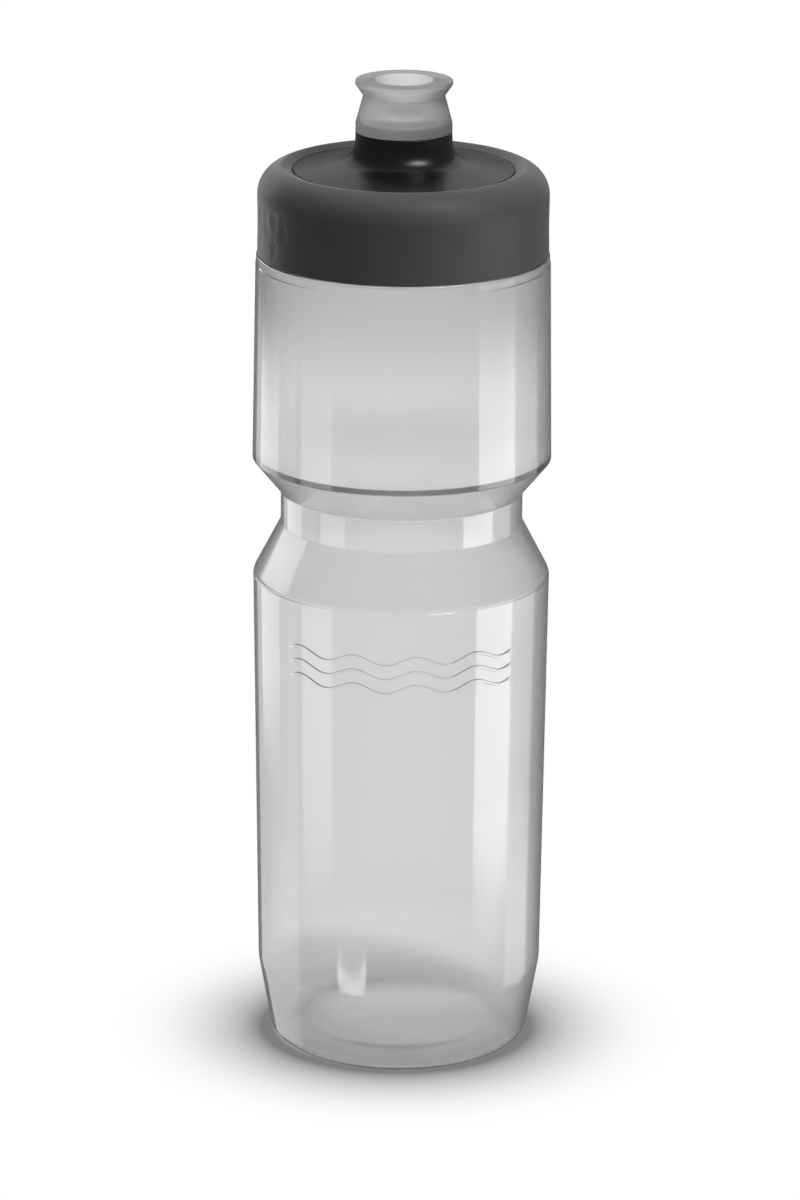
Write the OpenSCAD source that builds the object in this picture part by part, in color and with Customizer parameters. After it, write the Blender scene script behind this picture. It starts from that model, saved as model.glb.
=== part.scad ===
// Squeeze bottle for a bicycle cage: blow-moulded bottle, screw cap with a soft
// grip ring, and a mouthpiece that is pulled up to drink.
// Millimetres, +Z up, origin at the centre of the foot, front of the bottle towards -Y.

/* [Bottle] */
// Diameter at the widest point, which the cage grips
barrel_d = 74; // [72:0.5:75]
// Diameter of the waist groove for the cage's tab
waist_d = 60; // [57:0.5:64]
// Wall thickness of the squeezable part
wall = 1; // [0.8:0.1:1.6]
// Height of the tapered foot
foot_h = 20; // [14:1:26]
// Height at which the lower barrel ends
lower_top = 122.1; // [110:0.1:125]
// Length of the waist between its two cones
waist_len = 8.1; // [6:0.1:10]
// Length of the upper barrel, from the groove's edge to the shoulder
upper_len = 51.55; // [40:0.05:60]

/* [Neck and thread] */
// Outer diameter of the neck at the root of its thread
neck_d = 59.4; // [58:0.1:60]
// Height of the neck above the shoulder
neck_h = 15.15; // [15:0.05:15.5]
// Thread lead: how far the cap climbs in one turn
lead = 5; // [4.6:0.1:5.4]
// Height of the neck's thread ridge
ridge_h = 1.6; // [1.2:0.1:1.6]

/* [Cap] */
// Outer diameter of the soft grip ring
cap_d = 71.6; // [71:0.1:73]
// Height of the cap from its bottom edge to the top of the ring
cap_h = 21.6; // [21.4:0.05:22]
// Rounding of the grip ring's top edge
cap_round = 7.2; // [5:0.1:7.3]
// Diameter of the hard top plate inside the ring
plate_d = 54; // [52:0.1:54.4]
// Slope of the top plate, in degrees
plate_slope = 11; // [6:1:12]
// Depth of the grip dimples
dimple_depth = 0.5; // [0.2:0.05:0.6]

/* [Mouthpiece] */
// Diameter of the drinking hole
hole_d = 13.9; // [12:0.1:15]
// Diameter of the mouthpiece's rim
rim_d = 23.76; // [23:0.02:24.5]
// Height of the mouthpiece above the collar
mouth_h = 12.75; // [12.5:0.05:13.5]
// How far the mouthpiece pulls up
pull = 6.5; // [5:0.1:6.5]

/* [Hidden] */

$fn = 96;
arc_steps = 6;
bond = 0.02;          // line between a soft part and the hard part it is moulded on
play = 0.05;          // running clearance on a radius or between resting faces
sink = 0.4;           // how deep a raised feature is rooted in its wall

// Bottle. The *_in values are how far each level lies inside the widest radius.
barrel_r = barrel_d / 2;
lower_in = 0.15;
foot_top_in = 1.3;
foot_in = 4.85;
shoulder_in = 0.8;
lower_top_r = barrel_r - lower_in;
foot_top_r = barrel_r - foot_top_in;
foot_r = barrel_r - foot_in;
foot_land_r = 27.6;   // inner edge of the ring that the bottle stands on
punt_h = 4.5;         // rise of the base's middle
punt_edge = 3.5;      // width of the step up from that ring
punt_drop = 1.1;      // fall of the base from its middle to that step
waist_r = waist_d / 2;
lower_cone = 12.9;
upper_cone = 8.5;
waist_z = lower_top + lower_cone;
upper_z = waist_z + waist_len + upper_cone;
shoulder_z = upper_z + upper_len;
shoulder_r = barrel_r - shoulder_in;
crease = 0.1;         // fine step round the top edge of the lower barrel
crease_drop = 0.6;
band_h = 2.2;         // narrow band under the cap, set back by band_in
band_in = 0.2;
neck_r = neck_d / 2;
neck_wall = 1.9;
neck_bore_r = neck_r - neck_wall;
neck_top = shoulder_z + neck_h;

// Raised wave lines on the front of the lower barrel
wave_z = 105.7;
wave_gap = 3.6;
wave_rise = 1.1;
wave_span = 96;
wave_count = 4;
wave_steps = 96;
wave_h = 0.3;
wave_w = 1.3;

// Thread. Both ridges have the same flanks, and sit half a lead apart.
thread_steps = 48;
flank = 0.4375;       // how much a ridge narrows on each side per millimetre of height
neck_ridge_w = 2.7;   // width of the neck's ridge at its root
thread_drop = 11.7;   // from the neck's rim down to where its ridge begins
thread_z = neck_top - thread_drop;
neck_turns = 1.8;
cap_start = 120;      // degrees round the helix at which the cap's ridge begins
cap_turns = 1.35;
ridge_gap = 0.35;     // radial clearance over the crest of the cap's ridge
flank_gap = 0.2;
seat_shift = 0.1;     // the cap's ridge is drawn up towards the neck's ridge by this

// Cap
cap_gap = 0.15;       // between the shoulder and the closed cap
cap_z = shoulder_z + cap_gap;
cap_r = cap_d / 2;
cap_top = cap_z + cap_h;
crown_r = 29.9;       // the ring is highest about here, and falls to both sides
crown_rise = 0.15;    // how far the crown's corner lies above the rounded top
crown_z = cap_top + crown_rise;
crown_slope = 17.4;
hollow_h = 7.2;       // the ring's side is very slightly hollow, deepest at this height
hollow_in = 0.15;
hollow_round = 60;
skirt_lift = 0.5;     // the hard skirt ends this far above the soft ring
skirt_z = cap_z + skirt_lift;
skirt_gap = 0.1;      // radial clearance over the crest of the neck's ridge
skirt_wall = 2;
skirt_bore_r = neck_r + ridge_h + skirt_gap;
skirt_r = skirt_bore_r + skirt_wall;
skirt_round = 5.5;
plate_r = plate_d / 2;
plate_t = 1.8;
plate_gap = 0.3;
plate_sink = 0.9;     // how far the plate's edge lies below the top of the ring
plate_z = cap_top - plate_sink;
plate_under = plate_z - plate_t;
ring_seat_z = plate_z - 1.1;
seal_t = 1.5;
seal_z = neck_top + play;
seal_gap = 0.3;       // between the seal's bore and the plug
seal_rim_gap = 0.2;   // between the seal's rim and the skirt
ceiling_z = seal_z + seal_t + play;
plug_wall = 1.3;
plug_gap = 0.5;
plug_r = neck_bore_r - plug_gap;
plug_drop = 2.1;

// Collar that carries the mouthpiece, and the fixed pin that closes it
collar_h = 9.4;
collar_z = plate_z + collar_h;
collar_r = 11.78;
collar_foot = 0.27;   // widening of the collar down to its flare
collar_flare = 5.5;
collar_wall = 1.8;
slider_r = 9.9;
bead_r = 10.35;
guide_r = slider_r + play;
guide_len = 1.65;
chamber_r = bead_r + play;
well_drop = 2.4;
well_z = plate_under - well_drop;
pin_r = 3.2;
pin_head_r = 4.5;
pin_head_h = 3.1;
pin_flare = 1.3;      // height over which the pin widens to its head
pin_drop = 5.2;       // from the mouthpiece's rim, pushed down, to the top of the pin
rib_t = 1.6;
rib_h = 3.6;
rib_root = 1;         // how deep each rib is rooted in the pin and in the collar

// Slider and mouthpiece
slider_bore_r = 8.2;
bead_h = 1.3;
slider_z = collar_z - guide_len - pull - play - bead_h;
slider_len = 2.6;     // part of the slider above the collar
slider_top = collar_z + slider_len;
hook_r = 10.7;
hook_h = 1.1;
mouth_z = collar_z + play;
mouth_top = collar_z + mouth_h;
mouth_r = 11.8;
mouth_skirt = 2.15;   // straight part at the mouthpiece's foot
throat_r = 9.97;
throat_drop = 3.8;
rim_r = rim_d / 2;
rim_t = 1;
hole_r = hole_d / 2;
hole_depth = 4;
lip_r = pin_head_r + play;
pin_top = mouth_top - pin_drop;
lip_top = pin_top - 0.9;
lip_z = pin_top - 2.6;
bore_top = pin_top - 3.4;

// Grip dimples, in two fields on the left and right of the cap
dimple_pitch = 14.4;  // degrees between columns of one row
dimple_wide = 12;     // degrees
dimple_tall = 6.2;
dimple_row = 3.3;     // every second column has two, this far above and below dimple_z
dimple_z = cap_z + 8.4;
dimple_fade = 0.4;    // share of the depth left in the outermost columns
dimple_proud = 0.05;  // the cutters start this far outside the ring
dimple_columns = 6;   // columns each side of the middle of a field, half a pitch apart

function unit(v) = v / norm(v);

// Points of one rounded corner at b, between the neighbours a and c
function corner(a, b, c, radius) =
    radius == 0 ? [b] :
    let (
        u = unit(a - b),
        v = unit(c - b),
        half = acos(u * v) / 2,
        centre = b + unit(u + v) * radius / sin(half),
        p = b + u * radius / tan(half) - centre,
        q = b + v * radius / tan(half) - centre,
        from = atan2(p.y, p.x),
        turn = (atan2(q.y, q.x) - from + 540) % 360 - 180
    )
    [for (i = [0:arc_steps]) centre + radius * [cos(from + turn * i / arc_steps), sin(from + turn * i / arc_steps)]];

function flat(p) = [p.x, p.y];

// A closed outline given as [radius, height, rounding] corners
function rounded(path) = [
    for (i = [0:len(path) - 1])
        let (before = path[(i + len(path) - 1) % len(path)], after = path[(i + 1) % len(path)])
        each corner(flat(before), flat(path[i]), flat(after), path[i][2])
];

module turned(path) {
    rotate_extrude() polygon(rounded(path));
}

// Solid swept through rings that each hold the same number of points
module swept(rings) {
    sides = len(rings[0]);
    last = len(rings) - 1;
    points = [for (ring = rings) each ring];
    walls = [
        for (i = [0:last - 1]) for (j = [0:sides - 1])
            [i * sides + j, i * sides + (j + 1) % sides, (i + 1) * sides + (j + 1) % sides, (i + 1) * sides + j]
    ];
    start = [for (j = [sides - 1:-1:0]) j];
    end = [for (j = [0:sides - 1]) last * sides + j];
    polyhedron(points, concat([start, end], walls), convexity = 6);
}

function polar(r, angle, z) = [r * cos(angle), r * sin(angle), z];

// Grows from 0 to 1 over the first steps of a sweep and falls again over the last
function fade(i, count, steps) = min(1, i / steps, (count - i) / steps);

// Helical ridge with its root at root_r and its crest at crest_r; works inwards or outwards
module helix_ridge(root_r, crest_r, root_w, crest_w, z, first, turns) {
    count = round(turns * thread_steps);
    outward = crest_r > root_r;
    swept([
        for (i = [0:count])
            let (
                angle = first + i * 360 / thread_steps,
                height = z + lead * angle / 360,
                tip_r = root_r + (crest_r - root_r) * max(0.05, fade(i, count, 4)),
                r_in = outward ? root_r : tip_r,
                r_out = outward ? tip_r : root_r,
                w_in = (outward ? root_w : crest_w) / 2,
                w_out = (outward ? crest_w : root_w) / 2
            )
            [
                polar(r_in, angle, height - w_in),
                polar(r_out, angle, height - w_out),
                polar(r_out, angle, height + w_out),
                polar(r_in, angle, height + w_in)
            ]
    ]);
}

// ---- Bottle ----

barrel_path = [
    [0, punt_h, 0],
    [foot_land_r - punt_edge, punt_h - punt_drop, 3],
    [foot_land_r, 0, 1.2],
    [foot_r, 0, 3.2],
    [foot_top_r, foot_h, 12],
    [lower_top_r, lower_top - crease_drop - crease, 0],
    [lower_top_r - crease, lower_top - crease_drop, 0],
    [lower_top_r - crease, lower_top, 2.2],
    [waist_r, waist_z, 0.4],
    [waist_r, waist_z + waist_len, 0.4],
    [barrel_r, upper_z, 0.7],
    [shoulder_r, shoulder_z - band_h - band_in, 0],
    [shoulder_r - band_in, shoulder_z - band_h, 0],
    [shoulder_r - band_in, shoulder_z, 0.4]
];

// Half section of the barrel; margin carries it past the axis so that offset() leaves the axis alone
module barrel_section(margin) {
    polygon(concat(rounded(concat(barrel_path, [[0, shoulder_z, 0]])), [[-margin, shoulder_z], [-margin, punt_h]]));
}

module bottle_shell() {
    rotate_extrude() difference() {
        union() {
            barrel_section(0);
            translate([0, punt_h]) square([neck_r, neck_top - punt_h]);
        }
        offset(delta = -wall) barrel_section(2 * barrel_r);
        translate([0, shoulder_z - 2 * wall]) square([neck_bore_r, neck_h + 3 * wall]);
    }
}

function lower_barrel_r(z) =
    foot_top_r + (lower_top_r - foot_top_r) * (z - foot_h) / (lower_top - foot_h);

// One raised wave line that follows the barrel's surface
module wave_line(z) {
    swept([
        for (i = [0:wave_steps])
            let (
                angle = -90 - wave_span / 2 + wave_span * i / wave_steps,
                height = z + wave_rise * sin(360 * wave_count * i / wave_steps),
                r = lower_barrel_r(height),
                tall = wave_h * fade(i, wave_steps, 3),
                half = wave_w / 2
            )
            [
                polar(r - sink, angle, height - half),
                polar(r + tall, angle, height - half / 2),
                polar(r + tall, angle, height + half / 2),
                polar(r - sink, angle, height + half)
            ]
    ]);
}

module bottle_body() {
    color([0.80, 0.82, 0.82, 0.5]) union() {
        bottle_shell();
        helix_ridge(
            root_r = neck_r - sink,
            crest_r = neck_r + ridge_h,
            root_w = neck_ridge_w + 2 * flank * sink,
            crest_w = neck_ridge_w - 2 * flank * ridge_h,
            z = thread_z,
            first = 0,
            turns = neck_turns
        );
        for (i = [-1:1]) wave_line(wave_z + i * wave_gap);
    }
}

// ---- Cap ----

core_path = [
    [guide_r, collar_z, 0.2],
    [guide_r, collar_z - guide_len, 0],
    [chamber_r, collar_z - guide_len, 0],
    [chamber_r, well_z, 0],
    [chamber_r + collar_wall, well_z, 0],
    [chamber_r + collar_wall, plate_under, 1],
    [plug_r - plug_wall, plate_under, 1],
    [plug_r - plug_wall, ceiling_z - plug_drop, 0.3],
    [plug_r, ceiling_z - plug_drop, 0.5],
    [plug_r, ceiling_z, 0],
    [skirt_bore_r, ceiling_z, 0],
    [skirt_bore_r, skirt_z, 0.3],
    [skirt_r, skirt_z, 0],
    [skirt_r, ring_seat_z, skirt_round],
    [plate_r, ring_seat_z, 0],
    [plate_r, plate_z, 0.15],
    [collar_r + collar_foot, plate_z + tan(plate_slope) * (plate_r - collar_r), collar_flare],
    [collar_r, collar_z, 0.25]
];

pin_path = [
    [0, well_z, 0],
    [pin_r, well_z, 0.4],
    [pin_r, pin_top - pin_head_h - pin_flare, 0],
    [pin_head_r, pin_top - pin_head_h, 0.4],
    [pin_head_r, pin_top - 0.1, 0.9],
    [0, pin_top, 0]
];

module pin_ribs() {
    for (angle = [90, 210, 330])
        rotate(angle) translate([pin_r - rib_root, -rib_t / 2, well_z])
            cube([chamber_r - pin_r + 2 * rib_root, rib_t, rib_h]);
}

module cap_core() {
    ridge_drop = lead / 2 - seat_shift;
    crest_half = lead / 2 - neck_ridge_w / 2 + flank * ridge_gap - flank_gap;
    crest_r = neck_r + ridge_gap;
    root_r = skirt_bore_r + sink;
    color([0.10, 0.10, 0.11]) union() {
        turned(core_path);
        turned(pin_path);
        pin_ribs();
        helix_ridge(
            root_r = root_r,
            crest_r = crest_r,
            root_w = 2 * (crest_half + flank * (root_r - crest_r)),
            crest_w = 2 * crest_half,
            z = thread_z - ridge_drop,
            first = cap_start,
            turns = cap_turns
        );
    }
}

ring_path = [
    [skirt_r + bond, cap_z, 0.3],
    [cap_r, cap_z, 0.3],
    [cap_r - hollow_in, cap_z + hollow_h, hollow_round],
    [cap_r, crown_z - (cap_r - crown_r) * tan(crown_slope), cap_round],
    [crown_r, crown_z, 2],
    [plate_r + plate_gap, plate_z, 0.3],
    [plate_r + plate_gap, ring_seat_z + bond, 0],
    [skirt_r + bond, ring_seat_z + bond, skirt_round - bond]
];

// Four-sided dimple, cut from just outside the ring's wall
module dimple(angle, z, depth) {
    half = cap_r * sin(dimple_wide / 2);
    tall = dimple_tall / 2;
    rotate(angle) translate([cap_r + dimple_proud, 0, z]) polyhedron(
        [[-depth, 0, 0], [0, half, 0], [0, 0, tall], [0, -half, 0], [0, 0, -tall]],
        [[0, 2, 1], [0, 3, 2], [0, 4, 3], [0, 1, 4], [1, 2, 3, 4]]
    );
}

module grip_dimples() {
    for (side = [0, 180]) for (column = [-dimple_columns:dimple_columns])
        for (row = column % 2 == 0 ? [-1, 1] : [0])
            dimple(
                side + column * dimple_pitch / 2,
                dimple_z + row * dimple_row,
                dimple_depth * (abs(column) == dimple_columns ? dimple_fade : 1)
            );
}

module cap_grip_ring() {
    color([0.22, 0.22, 0.23]) difference() {
        rotate(90) turned(ring_path);    // so that no dimple lies where the turning starts
        grip_dimples();
    }
}

module cap_seal() {
    color([0.75, 0.75, 0.74]) turned([
        [plug_r + seal_gap, seal_z, 0.3],
        [skirt_bore_r - seal_rim_gap, seal_z, 0.3],
        [skirt_bore_r - seal_rim_gap, seal_z + seal_t, 0.3],
        [plug_r + seal_gap, seal_z + seal_t, 0.3]
    ]);
}

// ---- Mouthpiece ----

module nozzle_slider() {
    bead_top = slider_z + bead_h;
    color([0.12, 0.12, 0.13]) turned([
        [slider_bore_r, slider_z, 0.3],
        [bead_r, slider_z, 0.3],
        [bead_r, bead_top, 0],
        [slider_r, bead_top, 0],
        [slider_r, slider_top - hook_h, 0],
        [hook_r, slider_top - hook_h, 0],
        [hook_r, slider_top, 0.3],
        [slider_bore_r, slider_top, 0]
    ]);
}

module mouthpiece() {
    color([0.72, 0.73, 0.73, 0.7]) turned([
        [slider_r + bond, mouth_z, 0],
        [mouth_r, mouth_z, 0.25],
        [mouth_r, mouth_z + mouth_skirt, 2],
        [throat_r, mouth_top - throat_drop, 0.5],
        [rim_r, mouth_top - rim_t, 0.3],
        [rim_r, mouth_top, 0.35],
        [hole_r, mouth_top, 0.35],
        [hole_r, mouth_top - hole_depth, 1.5],
        [lip_r, lip_top, 0.3],
        [lip_r, lip_z, 0.3],
        [slider_bore_r, bore_top, 0.6],
        [slider_bore_r, slider_top + bond, 0],
        [hook_r + bond, slider_top + bond, 0.3],
        [hook_r + bond, slider_top - hook_h - bond, 0],
        [slider_r + bond, slider_top - hook_h - bond, 0]
    ]);
}

bottle_body();
cap_core();
cap_grip_ring();
cap_seal();
nozzle_slider();
mouthpiece();
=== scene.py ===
"""Visual model of a bicycle water bottle: clear bottle, soft-grip screw cap and pull-up mouthpiece.

Outlines are in millimetres and meshes in metres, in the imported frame. Angles are in degrees,
anticlockwise seen from above; the bottle's front is at -90.
"""

import math

import bmesh
import bpy
from mathutils import Matrix, Vector


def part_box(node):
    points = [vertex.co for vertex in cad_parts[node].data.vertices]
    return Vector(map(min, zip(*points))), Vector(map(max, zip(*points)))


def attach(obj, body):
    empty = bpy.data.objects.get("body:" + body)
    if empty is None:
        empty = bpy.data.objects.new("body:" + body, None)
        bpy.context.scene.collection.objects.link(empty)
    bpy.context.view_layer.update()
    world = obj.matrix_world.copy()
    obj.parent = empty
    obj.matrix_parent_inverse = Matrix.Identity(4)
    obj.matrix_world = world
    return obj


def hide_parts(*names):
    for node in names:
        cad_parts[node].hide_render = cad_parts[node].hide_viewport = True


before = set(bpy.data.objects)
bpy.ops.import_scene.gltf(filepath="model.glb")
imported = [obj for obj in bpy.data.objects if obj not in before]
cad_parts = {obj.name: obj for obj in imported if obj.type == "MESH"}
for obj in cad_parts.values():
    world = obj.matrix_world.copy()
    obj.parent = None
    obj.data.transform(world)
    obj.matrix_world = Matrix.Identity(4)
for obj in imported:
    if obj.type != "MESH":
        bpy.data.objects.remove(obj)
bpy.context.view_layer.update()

MM = 0.001
FRONT = -90.0


# ---- Sizes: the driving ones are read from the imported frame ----

def span(node):
    """Lowest z, highest z and largest radius of a CAD node, in millimetres."""
    low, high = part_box(node)
    return low.z / MM, high.z / MM, high.x / MM


_, neck_top, barrel_r = span("bottle_body")
cap_z, _, cap_r = span("cap_grip_ring")
skirt_z, pin_top, skirt_r = span("cap_core")
seal_z, seal_top, seal_r = span("cap_seal")
slider_z, slider_top, hook_r = span("nozzle_slider")
mouth_z, mouth_top, rim_r = span("mouthpiece")

bond = 0.02           # line between a soft part and the hard part under it
play = 0.05           # running clearance
sink = 0.4            # how deep a raised feature is rooted in its wall
wall = 1.0
corner_step = 6.0     # degrees between the points of a rounded corner
crease_angle = 28.0   # edges sharper than this stay sharp in the shading

# Bottle
cap_gap = 0.15        # between the shoulder and the closed cap
shoulder_z = cap_z - cap_gap
shoulder_r = barrel_r - 0.8
upper_len = 51.55     # from the groove's edge to the shoulder
upper_cone = 8.5      # height of the cone above the waist
waist_len = 8.1
lower_cone = 12.9     # height of the cone below the waist
upper_z = shoulder_z - upper_len
waist_r = 30.0
waist_top = upper_z - upper_cone
waist_z = waist_top - waist_len
lower_top = waist_z - lower_cone
lower_top_r = barrel_r - 0.15
foot_h = 20.0
foot_top_r = barrel_r - 1.3
foot_r = barrel_r - 4.85
land_r = 27.6
punt_h = 4.5
punt_edge = 3.5
punt_drop = 1.1
crease = 0.1          # fine step round the top edge of the lower barrel
crease_drop = 0.6
band_h = 2.2          # narrow band under the cap, set back by band_in
band_in = 0.2
flange = 0.4          # the clear wall is this thin under the cap's edge
groove_rise = 1.3     # the wall's inner corner lies this far above the groove's edge
neck_r = 29.7
neck_wall = 1.9
neck_bore_r = neck_r - neck_wall

# Raised wave lines on the front
wave_z = 105.7
wave_gap = 3.6
wave_rise = 1.1
wave_span = 96.0
wave_count = 4
wave_h = 0.3
wave_w = 1.3

# Thread
lead = 5.0
ridge_h = 1.6
ridge_w = 2.7         # width of the neck's ridge at its root
flank = 0.4375        # narrowing of each flank per millimetre of height
thread_drop = 11.7    # from the neck's rim down to where its ridge begins
thread_z = neck_top - thread_drop
neck_turns = 1.8
cap_start = 120.0     # degrees round the helix at which the cap's ridge begins
cap_turns = 1.35
ridge_gap = 0.35      # radial clearance over the crest of the cap's ridge
flank_gap = 0.2
seat_shift = 0.1      # the cap's ridge is drawn up towards the neck's ridge by this

# Cap
cap_h = 21.6
cap_top = cap_z + cap_h
cap_round = 7.2       # rounding of the ring's top edge
crown_r = 29.9        # the ring is highest about here
crown_rise = 0.15
crown_z = cap_top + crown_rise
crown_slope = 17.4
hollow_h = 7.2        # the ring's side is very slightly hollow, deepest at this height
hollow_in = 0.15
hollow_round = 60.0
skirt_wall = 2.0
skirt_bore_r = skirt_r - skirt_wall
skirt_round = 5.5
plate_r = 27.0
plate_t = 1.8
plate_gap = 0.3
plate_sink = 0.9      # how far the plate's edge lies below the top of the ring
plate_z = cap_top - plate_sink
plate_slope = 11.0
plate_under = plate_z - plate_t
ring_seat_z = plate_z - 1.1
ceiling_z = seal_top + play
plug_wall = 1.3
plug_gap = 0.5
plug_r = neck_bore_r - plug_gap
plug_drop = 2.1
seal_gap = 0.3        # between the seal's bore and the plug
dimple_pitch = 14.4
dimple_wide = 12.0
dimple_tall = 6.2
dimple_row = 3.3
dimple_z = cap_z + 8.4
dimple_depth = 0.5
dimple_fade = 0.4     # share of the depth left in the outermost columns
dimple_proud = 0.05   # the cutters start this far outside the ring
dimple_columns = 6

# Mouthpiece and its collar
collar_z = mouth_z - play
collar_r = 11.78
collar_foot = 0.27    # widening of the collar down to its flare
collar_flare = 5.5
collar_wall = 1.8
slider_r = 9.9
bead_r = 10.35
bead_h = 1.3
slider_bore_r = 8.2
guide_r = slider_r + play
guide_len = 1.65
chamber_r = bead_r + play
well_drop = 2.4
well_z = plate_under - well_drop
pin_r = 3.2
pin_head_r = 4.5
pin_head_h = 3.1
pin_flare = 1.3       # height over which the pin widens to its head
rib_t = 1.6
rib_h = 3.6
rib_root = 1.0        # how deep each rib is rooted in the pin and in the collar
hook_h = 1.1
mouth_r = 11.8
mouth_skirt = 2.15    # straight part at the mouthpiece's foot
throat_r = 9.97
throat_drop = 3.8
rim_t = 1.0
hole_r = 6.95
hole_depth = 4.0
lip_r = pin_head_r + play
lip_top = pin_top - 0.9
lip_z = pin_top - 2.6
bore_top = pin_top - 3.4

# Camera: metres, degrees, and the lens in millimetres
view_distance = 1.3431
view_tilt = 17.37
view_roll = 0.362
view_aim = (-0.00024, 0, 0.1139)
view_lens = 161.3

# Light: strengths, and a place in metres that most lamps face
backdrop = 1.01
dim_walls = 0.15
cap_aim = (0, 0, 0.2)

# Contact shadow: strengths, and how far they reach from the foot's edge
wide_shadow = 0.42
wide_reach = 19.0
close_shadow = 0.4
close_reach = 5.2
deepest_shadow = 0.8
under_shadow = 0.35   # under the base
seen_shadow = 0.36    # the most of it that is seen through the clear wall
shadow_oval = (0.94, 1, 1)
shadow_shift = 0.5


# ---- Mesh building ----

def corner_points(before, corner, after):
    """Points of one rounded corner, about corner_step apart."""
    start, tip, end, radius = Vector(before[:2]), Vector(corner[:2]), Vector(after[:2]), corner[2]
    if radius == 0:
        return [tuple(tip)]
    back, ahead = (start - tip).normalized(), (end - tip).normalized()
    half = back.angle(ahead) / 2
    centre = tip + (back + ahead).normalized() * radius / math.sin(half)
    spoke = tip + back * radius / math.tan(half) - centre
    turn = (math.pi - 2 * half) * math.copysign(1, (tip - start).cross(end - tip))
    first = math.atan2(spoke.y, spoke.x)
    count = max(2, math.ceil(math.degrees(abs(turn)) / corner_step))
    angles = [first + turn * i / count for i in range(count + 1)]
    return [(centre.x + radius * math.cos(a), centre.y + radius * math.sin(a)) for a in angles]


def outline(path):
    """Closed outline from (radius, height, rounding) corners."""
    points = []
    for i, corner in enumerate(path):
        points += corner_points(path[i - 1], corner, path[(i + 1) % len(path)])
    return points


def with_rows(points, pitch=6.0, edge=0.4):
    """Adds points along straight stretches: one near each end, to keep shading flat, and more between."""
    result = []
    for here, there in zip(points, points[1:] + points[:1]):
        result.append(here)
        length = math.dist(here, there)
        if length < 3 * edge:
            continue
        count = math.ceil((length - 2 * edge) / pitch)
        for i in range(count + 1):
            part = (edge + (length - 2 * edge) * i / count) / length
            result.append((here[0] + (there[0] - here[0]) * part, here[1] + (there[1] - here[1]) * part))
    return result


def new_piece(name, verts, faces):
    """A mesh object from points in millimetres."""
    mesh = bpy.data.meshes.new(name)
    mesh.from_pydata([Vector(v) * MM for v in verts], [], faces)
    piece = bpy.data.objects.new(name, mesh)
    bpy.context.scene.collection.objects.link(piece)
    return piece


def polar(r, angle, z):
    """A point at that radius, angle and height."""
    turn = math.radians(angle)
    return (r * math.cos(turn), r * math.sin(turn), z)


def turned(name, path, segments=256):
    """Solid of revolution. Corners at radius 0 lie on the axis."""
    rows = with_rows(outline(path))
    verts, rings = [], []
    for r, z in rows:
        on_axis = r < 1e-6
        first = len(verts)
        rings.append([first if on_axis else first + j for j in range(segments)])
        verts += [(0, 0, z)] if on_axis else [polar(r, 360 * j / segments, z) for j in range(segments)]
    faces = []
    for low, high in zip(rings, rings[1:] + rings[:1]):
        for j in range(segments):
            k = (j + 1) % segments
            face = list(dict.fromkeys((low[j], low[k], high[k], high[j])))
            if len(face) > 2:
                faces.append(face)
    return facing_out(new_piece(name, verts, faces))


def swept(name, rings):
    """Closed solid through rings that each hold the same number of points."""
    sides = len(rings[0])
    last = len(rings) - 1
    verts = [p for ring in rings for p in ring]
    faces = [
        (i * sides + j, i * sides + (j + 1) % sides, (i + 1) * sides + (j + 1) % sides, (i + 1) * sides + j)
        for i in range(last)
        for j in range(sides)
    ]
    faces += [tuple(reversed(range(sides))), tuple(last * sides + j for j in range(sides))]
    return facing_out(new_piece(name, verts, faces))


def facing_out(piece):
    """Turns a closed mesh's faces outwards, by the sign of its volume."""
    mesh = piece.data
    mesh.calc_loop_triangles()
    volume = 0.0
    for tri in mesh.loop_triangles:
        a, b, c = (mesh.vertices[v].co for v in tri.vertices)
        volume += a.dot(b.cross(c))
    if volume < 0:
        mesh.flip_normals()
    return piece


def combined(piece, operation, others):
    """Unites other closed solids with piece, or cuts them from it, and removes them."""
    for other in others:
        step = piece.modifiers.new("combine", "BOOLEAN")
        step.operation = operation
        step.solver = "MANIFOLD"
        step.object = other
        depsgraph = bpy.context.evaluated_depsgraph_get()
        mesh = bpy.data.meshes.new_from_object(piece.evaluated_get(depsgraph))
        piece.modifiers.clear()
        piece.data = mesh
        bpy.data.objects.remove(other)
    without_slivers(piece.data)
    return piece


def without_slivers(mesh, reach=1e-6):
    """Closes up edges shorter than reach (in metres) and flat triangles, which booleans leave."""
    shape = bmesh.new()
    shape.from_mesh(mesh)
    bmesh.ops.remove_doubles(shape, verts=shape.verts, dist=reach)
    bmesh.ops.dissolve_degenerate(shape, edges=shape.edges, dist=reach)
    shape.to_mesh(mesh)
    shape.free()


def finished(piece, node, body, material):
    """Smooth shading with sharp creases, the material, and the piece's place in the assembly."""
    mesh = piece.data
    mesh.name = piece.name
    mesh.shade_smooth()
    mesh.set_sharp_from_angle(angle=math.radians(crease_angle))
    mesh.materials.clear()
    mesh.materials.append(material)
    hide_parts(node)
    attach(piece, body)
    return piece


def helix_ridge(name, root_r, crest_r, root_w, crest_w, z, first, turns, steps=72, fade=6):
    """Helical ridge between a root and a crest radius, inwards or outwards.

    A turn has that many steps, and the ridge runs out over fade steps at both ends.
    """
    least_rise = 0.05
    count = round(turns * steps)
    rings = []
    for i in range(count + 1):
        angle = first + i * 360 / steps
        height = z + lead * angle / 360
        full = min(1, i / fade, (count - i) / fade)
        tip_r = root_r + (crest_r - root_r) * max(least_rise, full)
        rings.append([
            polar(root_r, angle, height - root_w / 2),
            polar(tip_r, angle, height - crest_w / 2),
            polar(tip_r, angle, height + crest_w / 2),
            polar(root_r, angle, height + root_w / 2),
        ])
    return swept(name, rings)


# ---- Materials ----

def new_material(name):
    """A material with its node tree and its main shader."""
    material = bpy.data.materials.new(name)
    material.use_nodes = True
    tree = material.node_tree
    return material, tree, tree.nodes["Principled BSDF"]


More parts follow.
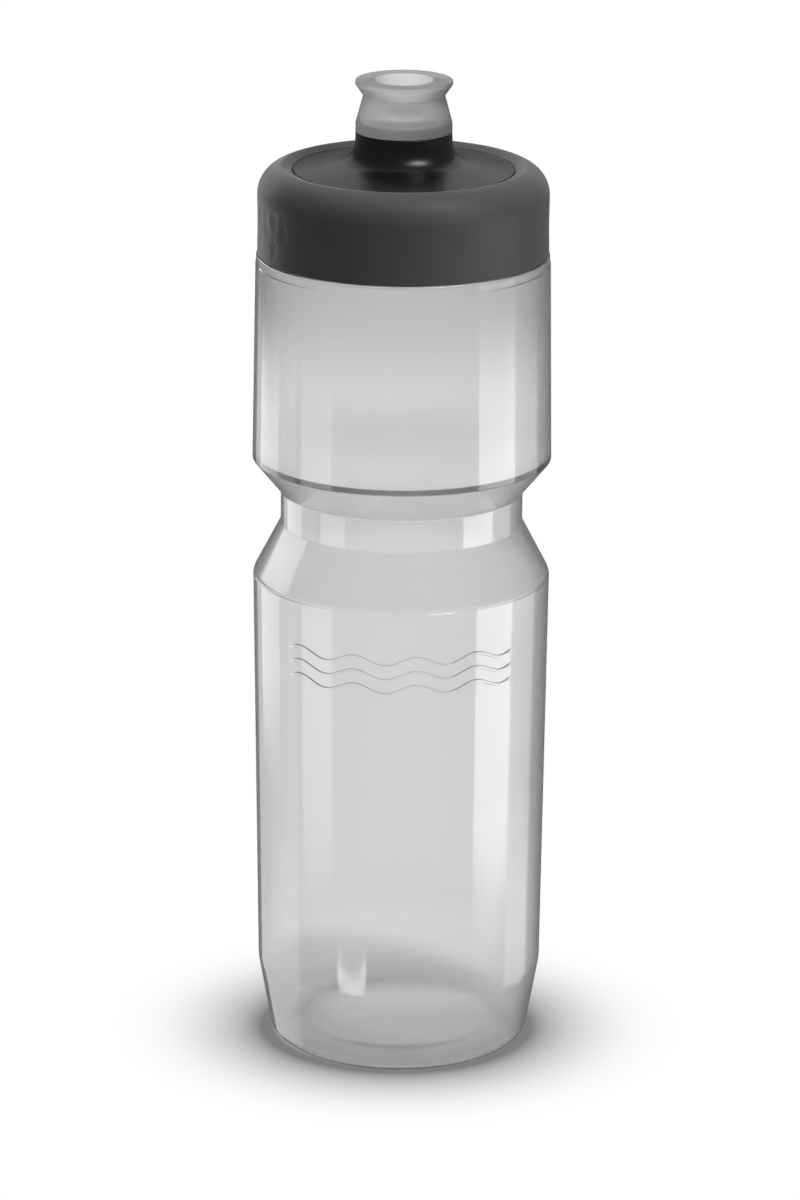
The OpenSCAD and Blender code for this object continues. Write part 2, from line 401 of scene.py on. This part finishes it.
def add(tree, kind, **values):
    """A node with its inputs and settings given by name."""
    node = tree.nodes.new(kind)
    for key, value in values.items():
        if key in node.inputs:
            node.inputs[key].default_value = value
        else:
            setattr(node, key, value)
    return node


def remap(tree, source, over, gives):
    """Maps the range over to the range it gives, clamped and with soft ends, as an output socket."""
    node = add(tree, "ShaderNodeMapRange", interpolation_type="SMOOTHSTEP")
    for name, value in zip(("From Min", "From Max", "To Min", "To Max"), over + gives):
        node.inputs[name].default_value = value
    tree.links.new(source, node.inputs["Value"])
    return node.outputs["Result"]


def math_node(tree, operation, *values):
    """A calculation on sockets or numbers, as an output socket."""
    node = add(tree, "ShaderNodeMath", operation=operation)
    for socket, value in zip(node.inputs, values):
        if isinstance(value, (int, float)):
            socket.default_value = value
        else:
            tree.links.new(value, socket)
    return node.outputs[0]


def product(tree, first, *others):
    """The product of sockets or numbers, as an output socket."""
    for other in others:
        first = math_node(tree, "MULTIPLY", first, other)
    return first


def xyz(tree, place):
    """The three coordinates of a place, as output sockets."""
    node = add(tree, "ShaderNodeSeparateXYZ")
    tree.links.new(place, node.inputs[0])
    return node.outputs


def tinted(tree, shader, colour, factor):
    """Base colour times a factor that varies over the surface."""
    tint = add(tree, "ShaderNodeVectorMath", operation="SCALE")
    tint.inputs[0].default_value = colour
    tree.links.new(factor, tint.inputs["Scale"])
    tree.links.new(tint.outputs[0], shader.inputs["Base Color"])


def murky(tree, colour, density):
    """Light is swallowed along its way through the material."""
    murk = add(tree, "ShaderNodeVolumeAbsorption", Color=colour, Density=density)
    tree.links.new(murk.outputs["Volume"], tree.nodes["Material Output"].inputs["Volume"])


def grain(tree, shader, scale, strength):
    """Fine surface relief. Returns the piece's own coordinates, as an output socket."""
    place = add(tree, "ShaderNodeTexCoord").outputs["Object"]
    noise = add(tree, "ShaderNodeTexNoise", Scale=scale, Detail=3.0)
    bump = add(tree, "ShaderNodeBump", Strength=strength, Distance=0.0001)
    tree.links.new(place, noise.inputs["Vector"])
    tree.links.new(noise.outputs["Fac"], bump.inputs["Height"])
    tree.links.new(bump.outputs["Normal"], shader.inputs["Normal"])
    return place


def wander(tree, place, low, high, scale):
    """A value that wanders slowly between two others over the surface, as an output socket."""
    noise = add(tree, "ShaderNodeTexNoise", Scale=scale, Detail=2.0)
    tree.links.new(place, noise.inputs["Vector"])
    return remap(tree, noise.outputs["Fac"], over=(0.3, 0.7), gives=(low, high))


def painted_wall_shade(tree, place):
    """Below 1 where the wall gets painted shade: under the cap, on the lower cone, in the base and round the
    foot.

    The painted shade on the foot is darkest at its back and on its left.
    """
    _, y, z = xyz(tree, place)
    shoulder = remap(tree, z, over=((shoulder_z - 28) * MM, (shoulder_z - 8) * MM), gives=(1.0, 0.82))
    middle = (waist_z + lower_top) / 2 * MM
    from_cone = math_node(tree, "ABSOLUTE", math_node(tree, "SUBTRACT", z, middle))
    cone = remap(tree, from_cone, over=(6 * MM, 7 * MM), gives=(0.91, 1.0))
    base = remap(tree, z, over=(4 * MM, 8 * MM), gives=(0.93, 1.0))
    slant = add(tree, "ShaderNodeVectorMath", operation="DOT_PRODUCT")
    slant.inputs[1].default_value = (0.25, 0, 1)
    tree.links.new(place, slant.inputs[0])
    low = remap(tree, slant.outputs["Value"], over=(6 * MM, 13 * MM), gives=(0.28, 0.0))
    rear = remap(tree, y, over=(5 * MM, 25 * MM), gives=(0.3, 1.0))
    foot = math_node(tree, "SUBTRACT", 1, product(tree, low, rear))
    return product(tree, shoulder, cone, base, foot)


def clear_plastic():
    """Smoky polyethylene: a glossy skin over a cloudy wall."""
    material, tree, shader = new_material("clear_polyethylene")
    shader.inputs["Transmission Weight"].default_value = 1.0
    shader.inputs["IOR"].default_value = 1.5
    shader.inputs["Coat Weight"].default_value = 1.0
    shader.inputs["Coat Roughness"].default_value = 0.05
    place = grain(tree, shader, scale=260.0, strength=0.06)
    clearer_foot = remap(tree, xyz(tree, place)["Z"], over=(30 * MM, 60 * MM), gives=(0.7, 1.0))
    cloudy = product(tree, wander(tree, place, 0.18, 0.24, scale=30.0), clearer_foot)
    tree.links.new(cloudy, shader.inputs["Roughness"])
    # The base colour carries painted shade: darker under the cap, on the lower cone, in the base and round
    # the foot.
    tinted(tree, shader, (0.935, 0.94, 0.938), painted_wall_shade(tree, place))
    murky(tree, (0.10, 0.12, 0.115, 1), density=100.0)
    return material


def hard_black():
    """Satin black polypropylene."""
    material, tree, shader = new_material("satin_black_polypropylene")
    shader.inputs["Base Color"].default_value = (0.012, 0.012, 0.0125, 1)
    place = grain(tree, shader, scale=1500.0, strength=0.1)
    tree.links.new(wander(tree, place, 0.26, 0.31, scale=60.0), shader.inputs["Roughness"])
    return material


def soft_charcoal():
    """Charcoal soft-touch elastomer."""
    material, tree, shader = new_material("charcoal_elastomer")
    shader.inputs["Base Color"].default_value = (0.029, 0.029, 0.0295, 1)
    shader.inputs["Specular IOR Level"].default_value = 0.35
    shader.inputs["Sheen Weight"].default_value = 0.13
    shader.inputs["Sheen Roughness"].default_value = 0.4
    place = grain(tree, shader, scale=2600.0, strength=0.2)
    tree.links.new(wander(tree, place, 0.48, 0.56, scale=50.0), shader.inputs["Roughness"])
    return material


def soft_clear():
    """Translucent grey elastomer, with painted shade where the hard slider lies inside it."""
    material, tree, shader = new_material("translucent_elastomer")
    shader.inputs["Transmission Weight"].default_value = 0.8
    shader.inputs["IOR"].default_value = 1.45
    place = grain(tree, shader, scale=900.0, strength=0.08)
    tree.links.new(wander(tree, place, 0.32, 0.38, scale=80.0), shader.inputs["Roughness"])
    above_slider = ((slider_top - 0.5) * MM, (slider_top + 2.5) * MM)
    # Painted shade: the base colour is darker below the top of the slider.
    painted_slider_shade = remap(tree, xyz(tree, place)["Z"], over=above_slider, gives=(0.6, 1.0))
    tinted(tree, shader, (0.82, 0.825, 0.823), painted_slider_shade)
    murky(tree, (0.1, 0.11, 0.105, 1), density=80.0)
    return material


def gasket_rubber():
    """Pale silicone."""
    material, tree, shader = new_material("silicone")
    shader.inputs["Base Color"].default_value = (0.55, 0.55, 0.53, 1)
    place = grain(tree, shader, scale=1200.0, strength=0.1)
    tree.links.new(wander(tree, place, 0.45, 0.55, scale=80.0), shader.inputs["Roughness"])
    return material


# ---- Bottle ----

def lower_barrel_r(z):
    """Radius of the lower barrel at a height."""
    return foot_top_r + (lower_top_r - foot_top_r) * (z - foot_h) / (lower_top - foot_h)


def wave_line(z, steps=192, fade=6):
    """One raised line that follows the barrel across the front, and runs out over fade steps at both ends."""
    rings = []
    for i in range(steps + 1):
        angle = FRONT - wave_span / 2 + wave_span * i / steps
        height = z + wave_rise * math.sin(2 * math.pi * wave_count * i / steps)
        r = lower_barrel_r(height)
        tall = wave_h * min(1, i / fade, (steps - i) / fade)
        rings.append([
            polar(r - sink, angle, height - wave_w / 2),
            polar(r + tall, angle, height - wave_w / 4),
            polar(r + tall, angle, height + wave_w / 4),
            polar(r - sink, angle, height + wave_w / 2),
        ])
    return swept("wave", rings)


def bottle():
    """The blow-moulded bottle, with its thread and its raised wave lines."""
    outside = [
        (0, punt_h, 0),
        (land_r - punt_edge, punt_h - punt_drop, 3),
        (land_r, 0, 1.2),
        (foot_r, 0, 3.2),
        (foot_top_r, foot_h, 12),
        (lower_top_r, lower_top - crease_drop - crease, 0),
        (lower_top_r - crease, lower_top - crease_drop, 0),
        (lower_top_r - crease, lower_top, 2.2),
        (waist_r, waist_z, 0.4),
        (waist_r, waist_top, 0.4),
        (barrel_r, upper_z, 0.7),
        (shoulder_r, shoulder_z - band_h - band_in, 0),
        (shoulder_r - band_in, shoulder_z - band_h, 0),
        (shoulder_r - band_in, shoulder_z, 0.4),
        (neck_r, shoulder_z, 0.5),
        (neck_r, neck_top, 0.3),
    ]
    # The inside follows the outside, with its corners moved a little to keep the wall even.
    inside = [
        (neck_bore_r, neck_top, 0.3),
        (neck_bore_r, shoulder_z - flange, 0.3),
        (shoulder_r - band_in - wall, shoulder_z - flange, 0.3),
        (shoulder_r - band_in - wall, shoulder_z - band_h, 0.5),
        (barrel_r - wall, upper_z + groove_rise, 0.3),
        (waist_r - wall, waist_top + 0.3, 1.4),
        (waist_r - wall, waist_z - 0.2, 1.4),
        (lower_top_r - crease - wall, lower_top - 0.3, 1.2),
        (foot_top_r - wall, foot_h + 0.1, 11),
        (foot_r - wall + 0.15, wall, 2.2),
        (land_r + 0.4, wall, 1.2),
        (land_r - punt_edge + 0.3, punt_h - punt_drop + wall, 2),
        (0, punt_h + wall, 0),
    ]
    thread = helix_ridge(
        "thread",
        root_r=neck_r - sink,
        crest_r=neck_r + ridge_h,
        root_w=ridge_w + 2 * flank * sink,
        crest_w=ridge_w - 2 * flank * ridge_h,
        z=thread_z,
        first=0,
        turns=neck_turns,
    )
    waves = [wave_line(wave_z + i * wave_gap) for i in (-1, 0, 1)]
    piece = combined(turned("clear_bottle", outside + inside), "UNION", [thread] + waves)
    return finished(piece, "bottle_body", "bottle", clear_plastic())


# ---- Cap ----

def pin():
    """The fixed pin that closes the mouthpiece when it is pushed down."""
    return turned("pin", [
        (0, well_z, 0),
        (pin_r, well_z, 0.4),
        (pin_r, pin_top - pin_head_h - pin_flare, 0.3),
        (pin_head_r, pin_top - pin_head_h, 0.4),
        (pin_head_r, pin_top - 0.1, 0.9),
        (0, pin_top, 0),
    ], segments=96)


def pin_rib(angle):
    """One of the three ribs that hold the pin in the collar."""
    half, top = rib_t / 2, well_z + rib_h
    section = ((-half, well_z), (half, well_z), (half, top), (-half, top))
    place = Matrix.Rotation(math.radians(angle), 4, "Z")
    ends = (pin_r - rib_root, chamber_r + rib_root)
    return swept("rib", [[place @ Vector((x, y, z)) for y, z in section] for x in ends])


def cap_core(material):
    """Plate, collar, plug and threaded skirt in one moulding, with the pin on its ribs."""
    collar_fall = math.tan(math.radians(plate_slope)) * (plate_r - collar_r)
    path = [
        (guide_r, collar_z, 0.2),
        (guide_r, collar_z - guide_len, 0),
        (chamber_r, collar_z - guide_len, 0),
        (chamber_r, well_z, 0),
        (chamber_r + collar_wall, well_z, 0.2),
        (chamber_r + collar_wall, plate_under, 1),
        (plug_r - plug_wall, plate_under, 1),
        (plug_r - plug_wall, ceiling_z - plug_drop, 0.3),
        (plug_r, ceiling_z - plug_drop, 0.5),
        (plug_r, ceiling_z, 0),
        (skirt_bore_r, ceiling_z, 0),
        (skirt_bore_r, skirt_z, 0.3),
        (skirt_r, skirt_z, 0.1),
        (skirt_r, ring_seat_z, skirt_round),
        (plate_r, ring_seat_z, 0),
        (plate_r, plate_z, 0.15),
        (collar_r + collar_foot, plate_z + collar_fall, collar_flare),
        (collar_r, collar_z, 0.25),
    ]
    root_r = skirt_bore_r + sink
    crest_r = neck_r + ridge_gap
    crest_w = lead - ridge_w + 2 * flank * ridge_gap - 2 * flank_gap
    thread = helix_ridge(
        "thread",
        root_r=root_r,
        crest_r=crest_r,
        root_w=crest_w + 2 * flank * (root_r - crest_r),
        crest_w=crest_w,
        z=thread_z - lead / 2 + seat_shift,
        first=cap_start,
        turns=cap_turns,
    )
    piece = turned("hard_cap", path, segments=288)
    combined(piece, "UNION", [thread, pin()] + [pin_rib(angle) for angle in (90, 210, 330)])
    return finished(piece, "cap_core", "cap", material)


def dimples():
    """Four-sided dimples in two fields, on the left and right, shallower in the outermost columns."""
    verts, faces = [], []
    half = cap_r * math.sin(math.radians(dimple_wide / 2))
    tall = dimple_tall / 2
    for side in (0, 180):
        for column in range(-dimple_columns, dimple_columns + 1):
            place = Matrix.Rotation(math.radians(side + column * dimple_pitch / 2), 4, "Z")
            depth = dimple_depth * (dimple_fade if abs(column) == dimple_columns else 1)
            for row in ((-1, 1) if column % 2 == 0 else (0,)):
                shift = Vector((cap_r + dimple_proud, 0, dimple_z + row * dimple_row))
                first = len(verts)
                corners = ((-depth, 0, 0), (0, half, 0), (0, 0, tall), (0, -half, 0), (0, 0, -tall))
                verts += [place @ (Vector(c) + shift) for c in corners]
                quads = ((0, 2, 1), (0, 3, 2), (0, 4, 3), (0, 1, 4), (1, 2, 3, 4))
                faces += [tuple(first + v for v in quad) for quad in quads]
    return facing_out(new_piece("dimples", verts, faces))


def grip_ring():
    """Soft ring round the cap, dimpled on its left and right."""
    crown_fall = (cap_r - crown_r) * math.tan(math.radians(crown_slope))
    path = [
        (skirt_r + bond, cap_z, 0.3),
        (cap_r, cap_z, 0.3),
        (cap_r - hollow_in, cap_z + hollow_h, hollow_round),
        (cap_r, crown_z - crown_fall, cap_round),
        (crown_r, crown_z, 2),
        (plate_r + plate_gap, plate_z, 0.3),
        (plate_r + plate_gap, ring_seat_z + bond, 0),
        (skirt_r + bond, ring_seat_z + bond, skirt_round - bond),
    ]
    piece = combined(turned("grip_ring", path, segments=320), "DIFFERENCE", [dimples()])
    return finished(piece, "cap_grip_ring", "cap", soft_charcoal())


def gasket():
    """Flat ring between the neck's rim and the cap."""
    inner = plug_r + seal_gap
    path = [(inner, seal_z, 0.3), (seal_r, seal_z, 0.3), (seal_r, seal_top, 0.3), (inner, seal_top, 0.3)]
    return finished(turned("gasket", path), "cap_seal", "cap_carrier", gasket_rubber())


# ---- Mouthpiece ----

def slider(material):
    """Hard tube inside the mouthpiece, with a bead at its foot and a hook at its top."""
    path = [
        (slider_bore_r, slider_z, 0.3),
        (bead_r, slider_z, 0.3),
        (bead_r, slider_z + bead_h, 0),
        (slider_r, slider_z + bead_h, 0),
        (slider_r, slider_top - hook_h, 0),
        (hook_r, slider_top - hook_h, 0),
        (hook_r, slider_top, 0.3),
        (slider_bore_r, slider_top, 0),
    ]
    return finished(turned("spout_slider", path), "nozzle_slider", "nozzle", material)


def mouthpiece():
    """Soft mouthpiece with a flared rim, moulded on the slider."""
    path = [
        (slider_r + bond, mouth_z, 0),
        (mouth_r, mouth_z, 0.25),
        (mouth_r, mouth_z + mouth_skirt, 2),
        (throat_r, mouth_top - throat_drop, 0.5),
        (rim_r, mouth_top - rim_t, 0.3),
        (rim_r, mouth_top, 0.35),
        (hole_r, mouth_top, 0.35),
        (hole_r, mouth_top - hole_depth, 1.5),
        (lip_r, lip_top, 0.3),
        (lip_r, lip_z, 0.3),
        (slider_bore_r, bore_top, 0.6),
        (slider_bore_r, slider_top + bond, 0),
        (hook_r + bond, slider_top + bond, 0.3),
        (hook_r + bond, slider_top - hook_h - bond, 0),
        (slider_r + bond, slider_top - hook_h - bond, 0),
    ]
    return finished(turned("soft_mouthpiece", path), "mouthpiece", "nozzle", soft_clear())


# ---- Studio ----

def around(angle, distance, height):
    """A place at that angle from the bottle's front, positive to the right."""
    return Vector(polar(distance, FRONT + angle, height))


def soft_box(name, centre, aim, size, strength, fade=0.0, mirrored=True):
    """A lamp at centre that faces aim, in metres, and fades out over a length at its top and bottom edges.

    Only reflections and matt surfaces see it, or, if not mirrored, only matt ones.
    """
    lamp = bpy.data.lights.new(name, "AREA")
    lamp.shape = "RECTANGLE"
    lamp.size, lamp.size_y = size
    lamp.energy = strength * size[0] * size[1] * math.pi
    if fade > 0:
        lamp.use_nodes = True
        tree = lamp.node_tree
        height = xyz(tree, add(tree, "ShaderNodeNewGeometry").outputs["Parametric"])["Y"]
        from_edge = math_node(tree, "PINGPONG", height, 0.5)
        level = remap(tree, from_edge, over=(0, fade / size[1]), gives=(0, 1))
        tree.links.new(level, tree.nodes["Emission"].inputs["Strength"])
    light = bpy.data.objects.new(name, lamp)
    bpy.context.scene.collection.objects.link(light)
    light.location = centre
    light.rotation_euler = (Vector(aim) - Vector(centre)).to_track_quat("-Z", "Y").to_euler()
    light.visible_camera = False
    light.visible_transmission = False
    light.visible_glossy = mirrored
    return light


def only_on(light, *pieces):
    """Keeps a lamp's light to those pieces."""
    group = bpy.data.collections.new(light.name + "_pieces")
    for piece in pieces:
        group.objects.link(piece)
    light.light_linking.receiver_collection = group


def strip(name, angles, heights, strength, fade=0.05, distance=0.7):
    """An upright soft box between two angles from the front and two heights."""
    first, last = angles
    low, high = heights
    width = 2 * distance * math.tan(math.radians(abs(last - first) / 2))
    centre = around((first + last) / 2, distance, (low + high) / 2)
    return soft_box(name, centre, (0, 0, centre.z), (width, high - low), strength, fade)


def contact_shadow(tree, place):
    """How dark the floor is: deepest at the foot's edge, fading outwards, and even under the base."""
    oval = add(tree, "ShaderNodeVectorMath", operation="MULTIPLY_ADD")
    oval.inputs[1].default_value = shadow_oval
    oval.inputs[2].default_value = (shadow_shift * MM, 0, 0)
    tree.links.new(place, oval.inputs[0])
    radius = add(tree, "ShaderNodeVectorMath", operation="LENGTH")
    tree.links.new(oval.outputs[0], radius.inputs[0])
    away = math_node(tree, "SUBTRACT", radius.outputs["Value"], foot_r * MM)
    scaled = math_node(tree, "DIVIDE", away, wide_reach * MM)
    wide = math_node(tree, "EXPONENT", product(tree, scaled, scaled, -1))
    close = math_node(tree, "EXPONENT", math_node(tree, "DIVIDE", away, -close_reach * MM))
    both = math_node(tree, "ADD", product(tree, wide, wide_shadow), product(tree, close, close_shadow))
    beyond = remap(tree, away, over=(-5 * MM, -2 * MM), gives=(0, 1))
    outside = product(tree, math_node(tree, "MINIMUM", both, deepest_shadow), beyond)
    under = product(tree, math_node(tree, "SUBTRACT", 1, beyond), under_shadow)
    return math_node(tree, "ADD", outside, under)


def seen_through(tree, place, shade):
    """The same shadow, but softer where it is seen through the clear wall, and weakest behind the bottle."""
    x, y, _ = xyz(tree, place)
    middle = remap(tree, math_node(tree, "ABSOLUTE", x), over=(29 * MM, 37 * MM), gives=(0.75, 0))
    behind = product(tree, middle, remap(tree, y, over=(5 * MM, 20 * MM), gives=(0, 1)))
    soft = math_node(tree, "MINIMUM", shade, seen_shadow)
    soft = product(tree, soft, math_node(tree, "SUBTRACT", 1, behind))
    through = add(tree, "ShaderNodeLightPath").outputs["Is Transmission Ray"]
    lifted = product(tree, math_node(tree, "SUBTRACT", shade, soft), through)
    return math_node(tree, "SUBTRACT", shade, lifted)


def floor():
    """A white sweep that glows evenly, with a soft contact shadow round the foot."""
    reach = 4000
    corners = [(-reach, -reach, 0), (reach, -reach, 0), (reach, reach, 0), (-reach, reach, 0)]
    sheet = new_piece("floor", corners, [(0, 1, 2, 3)])
    material, tree, shader = new_material("white_sweep")
    tree.nodes.remove(shader)
    place = add(tree, "ShaderNodeNewGeometry").outputs["Position"]
    shade = seen_through(tree, place, contact_shadow(tree, place))
    glow = add(tree, "ShaderNodeEmission")
    tree.links.new(math_node(tree, "SUBTRACT", backdrop, shade), glow.inputs["Strength"])
    tree.links.new(glow.outputs[0], tree.nodes["Material Output"].inputs["Surface"])
    sheet.data.materials.append(material)
    sheet.visible_glossy = False
    sheet.visible_diffuse = False


def room():
    """Seen directly or through the bottle the room is the backdrop; other surfaces see its dim walls."""
    world = bpy.data.worlds.new("room")
    world.use_nodes = True
    tree = world.node_tree
    ray = add(tree, "ShaderNodeLightPath").outputs
    direct = math_node(tree, "MAXIMUM", ray["Is Camera Ray"], ray["Is Transmission Ray"])
    background = tree.nodes["Background"]
    background.inputs["Color"].default_value = (1, 1, 1, 1)
    level = remap(tree, direct, over=(0, 1), gives=(dim_walls, backdrop))
    tree.links.new(level, background.inputs["Strength"])
    bpy.context.scene.world = world


def camera():
    """Looks a little down on the front from afar, with a long lens."""
    aim, tilt = Vector(view_aim), math.radians(view_tilt)
    data = bpy.data.cameras.new("camera")
    data.sensor_width = 36
    data.lens = view_lens
    data.clip_end = 20
    eye = bpy.data.objects.new("camera", data)
    bpy.context.scene.collection.objects.link(eye)
    eye.location = aim + Vector((0, -math.cos(tilt), math.sin(tilt))) * view_distance
    look = (aim - eye.location).to_track_quat("-Z", "Y").to_matrix().to_4x4()
    roll = Matrix.Rotation(math.radians(view_roll), 4, "Z")
    eye.matrix_world = Matrix.Translation(eye.location) @ look @ roll
    bpy.context.scene.camera = eye


def mirrored_lamps(clear):
    """Soft boxes that show as bands and spots of light on the glossy pieces."""
    strip("right_box", angles=(60, 95), heights=(-0.25, 0.05), strength=3.6, fade=0.07)
    strip("right_edge_box", angles=(95, 125), heights=(-0.4, 0.03), strength=0.8)
    strip("left_box", angles=(-138, -108), heights=(-0.18, 0.03), strength=1.1)
    strip("left_wide_box", angles=(-150, -88), heights=(-0.5, 0.03), strength=0.6)
    only_on(strip("left_top_box", angles=(-150, -100), heights=(0.13, 0.45), strength=1.8), clear)
    strip("left_front_box", angles=(-82, -54), heights=(-0.23, 0.03), strength=1.5)
    soft_box("back_box", around(180, 0.9, 0.85), cap_aim, size=(1.6, 0.9), strength=0.5)
    strip("foot_box", angles=(-50, -26), heights=(-0.261, -0.25), strength=8.0, fade=0.003)
    soft_box("key_box", around(45, 0.6, 1.15), (0, 0, 0.15), size=(0.45, 0.35), strength=9.0)


def matt_lamps(ring, spout):
    """Soft boxes that only light matt surfaces, each on one piece."""
    broad, small = (0.9, 0.9), (0.25, 0.25)
    for name, centre, size, strength, piece in (
        ("fill_box", around(50, 1.2, 0.5), broad, 10.0, ring),
        ("top_box", (-0.3, 0.1, 1.4), broad, 10.0, ring),
        ("dimple_box", around(-142, 0.9, 0.25), small, 75.0, ring),
        ("front_box", around(-20, 1.2, 0.8), broad, 12.0, spout),
    ):
        only_on(soft_box(name, centre, cap_aim, size, strength, mirrored=False), piece)


def studio(clear, ring, spout):
    """Camera, room, floor and lamps."""
    camera()
    room()
    floor()
    mirrored_lamps(clear)
    matt_lamps(ring, spout)
    scene = bpy.context.scene
    scene.view_settings.view_transform = "Standard"
    scene.cycles.use_denoising = True


black = hard_black()
clear = bottle()
cap_core(black)
ring = grip_ring()
gasket()
slider(black)
spout = mouthpiece()
studio(clear, ring, spout)
